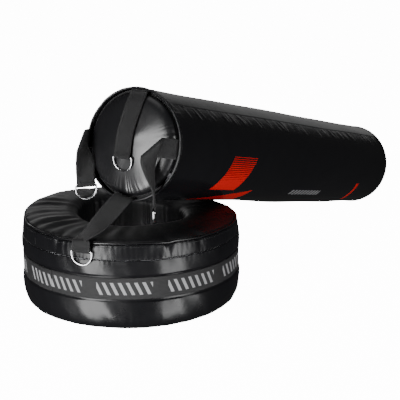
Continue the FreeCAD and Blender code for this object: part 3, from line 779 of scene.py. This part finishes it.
def swept(name, path, across, section, finish, closed=False):
    """Point (i, j) = path_i + across_i * section_j,0 + normal_i * section_j,1; ends are capped."""
    across = np.broadcast_to(across, path.shape)
    if closed:
        tangent = np.roll(path, -1, 0) - np.roll(path, 1, 0)
    else:
        tangent = np.gradient(path, axis=0)
    tangent /= np.linalg.norm(tangent, axis=1)[:, None]
    across = across - (across * tangent).sum(1)[:, None] * tangent
    across = across / np.linalg.norm(across, axis=1)[:, None]
    normal = np.cross(tangent, across)
    points = path[:, None] + across[:, None] * section[None, :, :1] + normal[:, None] * section[None, :, 1:]
    distance = run_length(np.vstack([path, path[:1]]) if closed else path)
    around = np.append(section[:, 0], section[0, 0])
    uv = np.stack(np.meshgrid(distance, around, indexing="ij"), -1)
    piece = skin(name, points, uv, path[:, None], finish, closed=(closed, True), thickness=0)
    if not closed:
        close_ends(piece)
    return piece


def close_ends(piece):
    """Fills the two open ends of a tube of faces."""
    work = bmesh.new()
    work.from_mesh(piece.data)
    bmesh.ops.holes_fill(work, edges=[edge for edge in work.edges if edge.is_boundary], sides=0)
    bmesh.ops.recalc_face_normals(work, faces=work.faces)
    work.to_mesh(piece.data)
    work.free()


# %% Ring piping
LEVEL = np.array([0.0, 0.0, 1.0])
PIPING_R = 0.0029
angles, _ = round_grid(720)
rim_path = on_ring(angles, RIM_R + ring_swell(angles), RIM_Z + rim_height(angles))
rim_path = press_under_bag(rim_path, 0.0045)
rim_piping = swept("ring_rim_piping", rim_path, LEVEL, round_section(PIPING_R), piping_vinyl, closed=True)
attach(rim_piping, "ring")
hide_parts("ring_rim_welt")
print("the rim's piping is", run_length(rim_path)[-1].round(2), "m long")

# %% [markdown]
# ### The waist webbing
# One length of webbing goes round the ring's waist, and its end is lapped over its start and sewn. So the
# path runs a little more than a full turn, and its last degrees step out by one thickness.

# %% Waist webbing
LAP_START, LAP = 163.0, 9.0
turned_degrees = np.linspace(LAP_START, LAP_START + 360 + LAP, 760)
waist_angle = np.radians(turned_degrees)
step_out = 0.0023 * smooth_step((turned_degrees - (LAP_START + 357)) / 3.0)
waist_r = WAIST_R + ring_swell(waist_angle) + step_out + 0.0004 * waves(waist_angle, (23, 31), 51)
waist_z = WAIST_MIDDLE + 0.0010 * waves(waist_angle, (2, 3, 5), 52)
waist_path = on_ring(waist_angle, waist_r, waist_z)
waist = swept("ring_waist_strap", waist_path, LEVEL, rounded_strip(0.058, 0.0019, 0.0004, 7), waist_webbing)
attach(waist, "ring")
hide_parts("ring_waist_webbing")
print("the waist webbing is", run_length(waist_path)[-1].round(3), "m long")

# %% [markdown]
# ## The bag
# The side is a tight tube, so it only ripples a little: short puckers behind each rim, and slow
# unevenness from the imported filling. Its rows lie closest where the eye goes, near the rim.


# %% Bag side
def bag_swell(angle, out):
    """How far the filled bag stands out of true, in metres, by angle and place along it."""
    inward = -out
    sag = smooth_step((inward - 0.50) / 0.35) * smooth_step((1.44 - inward) / 0.25) * near(angle, 0, 62)
    uneven = 0.0007 * waves(angle + 2.1 * inward, (3, 5, 8), 61)
    return uneven + 0.0006 * np.cos(9 * inward + 2 * angle) + 0.006 * sag


angles, angles_closed = round_grid(420)
rim_rows, foot_rows = np.linspace(0, 0.07, 34), BAG_LENGTH - np.linspace(0.05, 0, 20)
places = np.concatenate([rim_rows, np.linspace(0.075, BAG_LENGTH - 0.055, 54), foot_rows])
A, Z = np.meshgrid(angles, places, indexing="xy")
rim_puckers = puckers(A, Z, 84, 0.0018, 0.016, 62)
foot_puckers = puckers(A, BAG_LENGTH - Z, 78, 0.0016, 0.015, 65)
LAP_END = 130.0  # degrees, where the cover's overlap ends on its inner side
round_bag = np.degrees(A)
overlap = 0.0007 * smooth_step((SEAM_ANGLE - round_bag) / 1.6) * smooth_step((round_bag - LAP_END) / 1.6)
side_r = BAG_R - 0.0006 + rim_puckers + foot_puckers + overlap + bag_swell(A, -Z)
bag_points = on_bag(A, side_r, -Z)
bag_uv = np.stack(np.broadcast_arrays(places[:, None], (angles_closed[None, :] - math.pi) * BAG_R), -1)
bag_side = skin("bag_side_skin", bag_points, bag_uv, on_bag(0.0, 0.0, -Z), bag_vinyl)
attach(bag_side, "bag")
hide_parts("bag_side_cover")
print("the side's radius runs", side_r.min().round(4), "to", side_r.max().round(4))

# %% [markdown]
# ### The lid
# The lid is a disc of vinyl pushed out by foam. Its edge is longer than the seam it is sewn into, so it
# gathers there: deep at the bottom, at the upper left and at the right, and hardly at all between. The
# dome is a piece of a sphere with a fuller shoulder, and its edge rolls down into the zip's groove.


# %% Lid
def dome(radius, edge, rise, shoulder):
    """Height of a dome over its rim: a sphere's cap, plus shoulder * x^2 (1 - x^8) with x from the
    middle of the dome to its edge."""
    ball = (edge**2 + rise**2) / (2 * rise)
    cap = rise - ball + np.sqrt(ball**2 - np.clip(radius, 0, edge) ** 2)
    x = np.clip((radius - 0.4 * edge) / (0.6 * edge), 0, 1)
    return cap + shoulder * x**2 * (1 - x**8)


def dome_skin(edge, rise, shoulder, outwards, drop, gather_size, strength, seed, cols, rows):
    """A domed end: rows from the middle out to the edge, then over it and back into the seam."""
    t = np.linspace(0, 1, rows)
    radius = edge * (1 - (1 - t) ** 1.6)
    over = np.linspace(0, 1, 9)[1:]
    r_all = np.concatenate([radius, np.full(len(over), edge)])
    h_all = np.concatenate([dome(radius, edge, rise, shoulder), -drop * over])
    angles, angles_closed = round_grid(cols)
    A, R = np.meshgrid(angles, r_all, indexing="xy")
    inwards = edge - R
    reach = 0.007 + 0.007 * strength(A)
    lift = puckers(A, inwards, 58, gather_size * strength(A), reach, seed)
    lift += 0.0007 * waves(A, (3, 5, 7), seed + 3) * smooth_step(R / 0.05) * smooth_step(inwards / 0.01)
    points = outwards(A, R - 0.35 * lift * (inwards > 0), h_all[:, None] + lift)
    return points, wrapped_uv(r_all, angles_closed * edge)


def lid_strength(angle):
    """How strongly the lid gathers round its edge."""
    return 0.22 + 1.0 * near(angle, 8, 46) + 0.7 * near(angle, 140, 26) + 0.9 * near(angle, 268, 26)


lid_points, lid_uv = dome_skin(LID_R, LID_RISE, SHOULDER, on_bag, GROOVE, 0.0040, lid_strength, 71, 560, 66)
bag_lid = skin("bag_lid_skin", lid_points, lid_uv, on_bag(0.0, 0.0, -0.06), lid_vinyl, merge=True)
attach(bag_lid, "bag")
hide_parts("bag_lid")
print("the lid's grid is", lid_points.shape[:2])

# %% Foot
foot_points, foot_uv = dome_skin(
    FOOT_R, FOOT_RISE, 0.008,
    lambda angle, radius, height: on_bag(angle, radius, -BAG_LENGTH - height), 0.0, 0.0032,
    lambda angle: 0.5 + 0.3 * near(angle, 200, 60), 81, 480, 50,
)
inside = on_bag(0.0, 0.0, -BAG_LENGTH + 0.06)
bag_foot = skin("bag_foot_skin", foot_points, foot_uv, inside, bag_vinyl, merge=True)
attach(bag_foot, "bag")
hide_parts("bag_foot_panel")
print("the foot's grid is", foot_points.shape[:2])

# %% Bag piping
angles, _ = round_grid(420)
wobble = 0.0005 * waves(angles, (5, 9, 16, 27), 91)
for name, node, out in (
    ("bag_rim_piping", "bag_rim_welt", 0.003),
    ("bag_foot_piping", "bag_foot_welt", -BAG_LENGTH - 0.003),
):
    path = on_bag(angles, BAG_R - 0.0005 + 0.5 * wobble, out + wobble)
    piping = swept(name, path, ALONG, round_section(PIPING_R), piping_vinyl, closed=True)
    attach(piping, "bag")
    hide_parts(node)
    print(name, "is", run_length(path)[-1].round(3), "m long")

# %% [markdown]
# ## Straps
# Each strap is one length of 50 mm webbing, doubled: it comes out from under the cover, goes down to its
# D-ring, round the ring's bar, and back up behind itself. A strap starts as the grid of its middle, and
# `doubled_strip` lays one layer on each side of it, with an eye round the bar where they part.

# %% Doubled webbing
LAYER, HALF_THICK = 0.00108, 0.00095  # of one layer: its distance from the strap's middle, and half its own
EYE = 0.0039
HALF_WIDTH, EDGE = 0.0253, 0.0005
ACROSS = np.linspace(EDGE - HALF_WIDTH, HALF_WIDTH - EDGE, 9)
STRAP_ROWS = 84


def unit(vectors):
    """Each vector divided by its own length."""
    return vectors / np.linalg.norm(vectors, axis=-1, keepdims=True)


def sheet_normal(points):
    """The cross product of the grid's two directions at each point."""
    return unit(np.cross(np.gradient(points, axis=0), np.gradient(points, axis=1)))


def doubled_strip(name, middle, nodes_replaced):
    """middle[i, j] runs i down to the bar and j across. One layer lies at +LAYER along the normal and
    comes back at -LAYER, after half a turn of radius EYE round the bar's line; each layer is then
    given its thickness as a closed loop of its two faces and rounded edges."""
    normal = sheet_normal(middle)
    line = middle[:, middle.shape[1] // 2]
    to_go = run_length(line)[-1] - run_length(line)
    part = (LAYER + (EYE - LAYER) * smooth_step(1 - to_go / 0.014))[:, None, None]
    way = unit(middle[-1] - middle[-2])
    turn = np.linspace(0, math.pi, 14)[1:-1][:, None, None]
    eye = middle[-1] + EYE * (np.cos(turn) * normal[-1] + np.sin(turn) * way)
    sheet = np.concatenate([middle + normal * part, eye, (middle - normal * part)[::-1]])
    face = sheet_normal(sheet) * HALF_THICK
    right_edge = sheet[:, -1:] + unit(sheet[:, -1:] - sheet[:, -2:-1]) * EDGE
    left_edge = sheet[:, :1] + unit(sheet[:, :1] - sheet[:, 1:2]) * EDGE
    loop = np.concatenate([sheet + face, right_edge, (sheet - face)[:, ::-1], left_edge], axis=1)
    over = np.concatenate([ACROSS, [HALF_WIDTH], ACROSS[::-1], [-HALF_WIDTH], ACROSS[:1]])
    distance = run_length(sheet[:, middle.shape[1] // 2])
    uv = np.stack(np.meshgrid(distance, over, indexing="ij"), -1)
    inside = sheet.mean(axis=1, keepdims=True)
    piece = skin(name, loop, uv, inside, strap_webbing, thickness=0)
    close_ends(piece)
    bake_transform(piece)
    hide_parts(*nodes_replaced)
    print(name, "is", run_length(line)[-1].round(3), "m from its first row to its bar")


def bag_point(out, left, up):
    """A point by distances outwards from the lid's rim, to the bag's left and up, in the bag's own frame."""
    return BAG_AT - ALONG * out + LEFT * left + UP * up


def joint_place(name):
    """Where the engineering model's joint is."""
    return np.array(joints[name]["pos_m"], float)


def facing(direction, reference):
    """The direction, or its opposite if that is nearer the reference."""
    return direction if direction @ reference > 0 else -direction


# %% Top strap
pivot, bar = joint_place("strap_top_swing"), joint_place("d_ring_top_swing")
rest = np.array([0.126, 0.111, 0.094, 0.074, 0.054, 0.034, 0.014, -0.004])
outs = dome(np.abs(rest), LID_R, LID_RISE, SHOULDER) + 0.0040
knots = [(-0.030, UNDER_COVER), (-0.012, UNDER_COVER), (0.002, UNDER_COVER), (0.0100, UNDER_COVER - 0.004)]
knots += list(zip(outs, rest))
sideways = 0.008 * smooth_step((np.array([up for _, up in knots]) - 0.01) / 0.12)
points = [bag_point(out, -side, up) for (out, up), side in zip(knots, sideways)]
centre = smooth_path(points + [bar], STRAP_ROWS)
doubled_strip(
    "strap_top_webbing", centre[:, None] + LEFT * ACROSS[None, :, None], ("strap_top", "strap_tail_top"),
)

# %% Middle line of the bottom strap
pivot, bar = joint_place("strap_bottom_swing"), joint_place("d_ring_bottom_swing")
HANGS_BY = 0.029  # from the strap's highest point on the rim down to its bar
rim_across = facing(np.array(joints["d_ring_bottom_swing"]["axis"], float), LEFT)
rim_out = facing(np.cross(LEVEL, rim_across), bar * [1, 1, 0])
nose = bar + LEVEL * HANGS_BY
slope_way = nose - pivot
knots = [bag_point(out, 0, -UNDER_COVER) for out in (-0.030, -0.010, 0.006)] + [
    pivot, pivot + slope_way * 0.3 - LEVEL * 0.003, pivot + slope_way * 0.65 - LEVEL * 0.005,
    nose - rim_out * 0.012 + LEVEL * 0.003, nose - LEVEL * 0.003, bar,
]
centre = smooth_path(knots, STRAP_ROWS)
print("the bottom strap slopes down", round(math.degrees(math.asin(-unit(slope_way)[2])), 1), "degrees")

# %% Bottom strap
# It leaves the bag flat, stands on edge down the slope, and lies flat again over the ring's rim.
slope_across = facing(unit(np.cross(LEVEL, slope_way)), LEFT)
slope_face = facing(unit(np.cross(unit(slope_way), slope_across)), LEVEL)
on_edge = unit(slope_across + 0.9 * slope_face)
t = np.linspace(0, 1, STRAP_ROWS)[:, None]
to_slope, to_flat = smooth_step((t - 0.22) / 0.25), smooth_step((t - 0.50) / 0.25)
to_rim = smooth_step((t - 0.74) / 0.18)
across = LEFT * (1 - to_slope) + (on_edge * (1 - to_flat) + slope_across * to_flat) * to_slope
across = unit(across * (1 - to_rim) + rim_across * to_rim)
doubled_strip(
    "strap_bottom_webbing", centre[:, None] + across[:, None] * ACROSS[None, :, None],
    ("strap_bottom", "strap_tail_bottom"),
)

# %% [markdown]
# ### Folded straps
# At the sides the webbing comes out on edge and is folded over itself at 45 degrees to hang down. A fold
# is a mirror: past the fold line every point of the flat strip is reflected back, two bend radii further
# out. The bend itself is half a turn round a small roller under the fold line. Below the fold the strip
# eases into the upright plane in which its ring hangs.


# %% Folded strip
EASES_FROM, EASES_OVER = 0.020, 0.060  # below the fold


def folded_strip(root, way, outer, bar, hang_across, bend=0.0042, ease=0.012, rows=170):
    """Flat coordinates are s along and w across. d = (s - fold + w) / sqrt 2 is the distance past the
    fold line. Up to 0 a point stays in the plane of the arm; within pi * bend it goes round the bend;
    beyond, it is mirrored and 2 * bend further out. Then it moves over to the hanging plane."""
    drop = (root - bar) @ LEVEL
    fold = (bar + LEVEL * drop - root) @ way
    s, w = np.meshgrid(np.linspace(-0.03, fold + drop, rows), ACROSS, indexing="ij")
    d = (s - fold + w) / math.sqrt(2)
    in_bend, beyond = (d > 0) & (d < math.pi * bend), d >= math.pi * bend
    past = np.where(in_bend, bend * np.sin(d / bend), np.where(beyond, math.pi * bend - d, d))
    off = np.where(in_bend, bend * (1 - np.cos(d / bend)), np.where(beyond, 2 * bend, 0))
    x = s - d / math.sqrt(2) + past / math.sqrt(2)
    y = w - d / math.sqrt(2) + past / math.sqrt(2)
    turned_in = np.where(x < -ease, 0, np.where(x > ease, x, (x + ease) ** 2 / (4 * ease)))[..., None]
    arm = root - ALONG * (x[..., None] - turned_in) + way * turned_in
    arm = arm + y[..., None] * UP + off[..., None] * outer
    # spread over the drop, the hanging part ends exactly on the bar
    fall = np.clip((s - fold) / drop, 0, 1)
    hung = bar + LEVEL * (drop * (1 - fall))[..., None] - w[..., None] * hang_across
    share = smooth_step((s - fold - EASES_FROM + w) / EASES_OVER)[..., None]
    return arm * (1 - share) + hung * share


# %% Side straps
for side, sign in (("left", 1), ("right", -1)):
    bar = joint_place(f"d_ring_{side}_swing")
    root = bag_point(0.0005, sign * (UNDER_COVER - 0.0003), 0.0)
    plumb = (root - bar) @ LEVEL
    way = unit((bar + LEVEL * plumb - root) * [1, 1, 0])
    way = unit(way - (way @ UP) * UP)
    outer = facing(np.cross(way, UP), LEFT * sign)
    hang_across = facing(np.array(joints[f"d_ring_{side}_swing"]["axis"], float), way)
    middle = folded_strip(root, way, outer, bar, hang_across)
    doubled_strip(
        f"strap_{side}_webbing", middle, (f"strap_{side}", f"strap_tail_{side}"),
    )

# %% [markdown]
# ## D-rings
# A D-ring is one wire: a straight bar, two tight corners, short legs and a half round arch. The path is
# those parts end to end, and a round section is carried along it.

# %% D-rings
ARCH, LEG, BEND, WIRE = 0.0282, 0.009, 0.003, 0.0025


def d_path():
    """(across, down) points of the ring's middle line: bar, corner, leg, arch, leg, corner, in order."""
    bar_x = np.linspace(-(ARCH - BEND), ARCH - BEND, 15)
    bar = np.stack([bar_x, 0 * bar_x], -1)
    turn = np.linspace(0, math.pi / 2, 8)[1:-1]
    corner = np.stack([ARCH - BEND + BEND * np.sin(turn), BEND - BEND * np.cos(turn)], -1)
    leg_y = np.linspace(BEND, LEG, 4)
    leg = np.stack([np.full_like(leg_y, ARCH), leg_y], -1)
    turn = np.linspace(0, math.pi, 40)[1:-1]
    arch = np.stack([ARCH * np.cos(turn), LEG + ARCH * np.sin(turn)], -1)
    flip = np.array([-1, 1])
    return np.vstack([bar, corner, leg, arch, leg[::-1] * flip, corner[::-1] * flip])


for side in ("top", "left", "right", "bottom"):
    joint = joints[f"d_ring_{side}_swing"]
    bar, across = np.array(joint["pos_m"], float), np.array(joint["axis"], float)
    low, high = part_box(f"d_ring_{side}")
    hang = np.array((low + high) / 2) - bar  # from the bar towards the ring's middle
    hang = unit(hang - (hang @ across) * across)
    flat = d_path()
    path = bar + flat[:, :1] * across + flat[:, 1:] * hang
    face = np.cross(across, hang)
    steel = swept(f"d_ring_{side}_steel", path, face, round_section(WIRE, 14), ring_steel, closed=True)
    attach(steel, f"d_ring_{side}")
    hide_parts(f"d_ring_{side}")


# %% [markdown]
# ## Zip and stitches
# Small things that are repeated hundreds of times, such as teeth and stitches, are one little shape
# placed along a path by arrays of positions and directions. Each has only a few faces.

# %% Repeated small shapes
def repeated(name, places, along, out, size, finish, body, rings=3, sides=6):
    """A small capsule at each place: rings of points across `along`, flattened towards `out`, with
    radius size_1 * sqrt(1 - x^2) at x from end to end of its length size_0."""
    along, out = unit(along), unit(out)
    over = unit(np.cross(along, out))
    x = np.linspace(-0.86, 0.86, rings)  # of the half length; the tips close the rest
    turn = np.arange(sides) * TURN / sides
    swell = np.sqrt(1 - x**2)
    shape = np.stack(np.broadcast_arrays(
        x[:, None] * size[0] / 2,
        swell[:, None] * np.cos(turn) * size[1] / 2,
        swell[:, None] * np.sin(turn) * size[2] / 2,
    ), -1).reshape(-1, 3)
    tips = np.array([[-size[0] / 2, 0, 0], [size[0] / 2, 0, 0]])
    shape = np.vstack([shape, tips])
    points = (
        places[:, None] + shape[None, :, :1] * along[:, None] + shape[None, :, 1:2] * over[:, None]
        + shape[None, :, 2:] * out[:, None]
    )
    i, j = np.meshgrid(np.arange(rings - 1), np.arange(sides), indexing="ij")
    j2 = (j + 1) % sides
    ring, after = i * sides, (i + 1) * sides
    quads = np.stack([ring + j, ring + j2, after + j2, after + j], -1).reshape(-1, 4)
    j, j2 = np.arange(sides), (np.arange(sides) + 1) % sides
    start_tip, end_tip, last = rings * sides, rings * sides + 1, (rings - 1) * sides
    tris = np.vstack([
        np.stack([np.full(sides, start_tip), j2, j], -1),
        np.stack([np.full(sides, end_tip), last + j, last + j2], -1),
    ])
    shift = np.arange(len(places))[:, None, None] * len(shape)
    faces = (quads[None] + shift).reshape(-1, 4).tolist() + (tris[None] + shift).reshape(-1, 3).tolist()
    mesh = bpy.data.meshes.new(name)
    mesh.from_pydata(points.reshape(-1, 3).tolist(), [], faces)
    mesh.polygons.foreach_set("use_smooth", np.ones(len(mesh.polygons), bool))
    mesh.materials.append(finish.material)
    piece = bpy.data.objects.new(name, mesh)
    bpy.context.scene.collection.objects.link(piece)
    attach(piece, body)
    print(name, "has", len(places))
    return piece


def stitches_round(name, angles, path_at, out_at, body, length=0.0042, width=0.0011):
    """Stitches along a closed line: places and directions come from the line's own function."""
    step = 1e-3
    places = path_at(angles)
    along = path_at(angles + step) - path_at(angles - step)
    return repeated(name, places, along, out_at(angles), (length, width, width * 0.8), thread, body)


def even_angles(count):
    """The middles of `count` equal parts of a turn."""
    return (np.arange(count) + 0.5) * TURN / count


def outward(angle):
    """The level direction away from the ring's axis."""
    return on_ring(angle, 1.0, 0.0)


# %% Ring stitches
stitches_round(
    "ring_lower_seam_stitches", even_angles(380), lambda a: on_ring(a, 0.3046 + ring_swell(a), 0.1985),
    outward, "ring",
)
stitches_round(
    "ring_rim_stitches", even_angles(400),
    lambda a: on_ring(a, 0.3012 + ring_swell(a), 0.2180 + 0.9 * rim_height(a)), outward, "ring",
)
for name, height in (("ring_waist_upper_stitches", 0.1462), ("ring_waist_lower_stitches", 0.0938)):
    stitches_round(
        name, even_angles(370), lambda a, z=height: on_ring(a, 0.3061 + ring_swell(a), z), outward, "ring"
    )


def upright_row(name, degrees, radius, heights, size):
    """Stitches one above another at an angle round the ring."""
    angle = np.full_like(heights, math.radians(degrees))
    along = np.tile(LEVEL, (len(heights), 1))
    places = on_ring(angle, radius + ring_swell(angle), heights)
    repeated(name, places, along, outward(angle), size, thread, "ring")


lap_heights = np.linspace(0.0975, 0.1425, 11)
for name, degrees in (("ring_lap_end_stitches", 170.6), ("ring_lap_inner_stitches", 165.0)):
    upright_row(name, degrees, 0.3085, lap_heights, (0.0036, 0.0011, 0.0009))
band_heights = np.linspace(0.2005, 0.2165, 5) + 0.006
upright_row("ring_band_lap_stitches", 159.4, 0.3062, band_heights, (0.0034, 0.0010, 0.0008))


# %% Bag seam stitches
def away_from_bag(angle):
    """The direction away from the bag's axis."""
    return on_bag(angle, 1.0, 0.0) - BAG_AT


stitches_round(
    "bag_rim_stitches", even_angles(230),
    lambda a: on_bag(a, BAG_R + 0.0004 + bag_swell(a, 0.0), -0.0055), away_from_bag, "bag", 0.0036, 0.0009,
)
seam_places = np.linspace(0.03, BAG_LENGTH - 0.03, 300)
seam_angle = np.full_like(seam_places, math.radians(SEAM_ANGLE + 1.6))
seam_r = BAG_R + 0.0002 + bag_swell(seam_angle, -seam_places)
repeated(
    "bag_seam_stitches", on_bag(seam_angle, seam_r, -seam_places), np.tile(ALONG, (len(seam_places), 1)),
    away_from_bag(seam_angle), (0.0034, 0.0006, 0.0004), thread, "bag",
)

# %% Zip teeth
ZIP_START, ZIP_TRAVEL, BEYOND = -60.0, 285.0, 4.5  # degrees round the bag
TEETH, TEETH_R = 250, BAG_R - 0.0085
teeth_angle = np.radians(np.linspace(ZIP_START - BEYOND, ZIP_START + ZIP_TRAVEL + BEYOND, TEETH))
in_and_out = np.where(np.arange(TEETH) % 2 == 0, 0.0005, -0.0005)
teeth = repeated(
    "zip_teeth_row", on_bag(teeth_angle, TEETH_R + in_and_out, -0.0091), away_from_bag(teeth_angle),
    np.tile(-ALONG, (TEETH, 1)), (0.0032, 0.0020, 0.0017), zip_teeth, "bag",
)
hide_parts("bag_zip_teeth")

# %% [markdown]
# ## The model's own parts
# What the model already shapes well keeps its mesh and only gets a finish: the zip's slider, pull and
# tape, the ring's underside, and everything inside.

# %% Finishes for the carried-over nodes
FINISH_OF = {
    "bag_vinyl": bag_vinyl, "ring_matt_vinyl": matt_vinyl, "ring_gloss_vinyl": gloss_vinyl,
    "piping": piping_vinyl, "foam": foam, "textile_fill": textile_fill, "liner_cloth": liner_cloth,
    "waist_webbing": waist_webbing, "strap_webbing": strap_webbing, "zip_tape": zip_tape,
    "zip_teeth": zip_teeth, "zip_metal": zip_metal, "ring_steel": ring_steel,
}
slot_of = {part["node"]: part["material_slot"] for part in frame["record"]["subparts"]}
for node_name, node in nodes.items():
    finish = FINISH_OF[slot_of[node_name]]
    node.data.materials.clear()
    node.data.materials.append(finish.material)
print("nodes by finish:", {slot: list(slot_of.values()).count(slot) for slot in FINISH_OF})
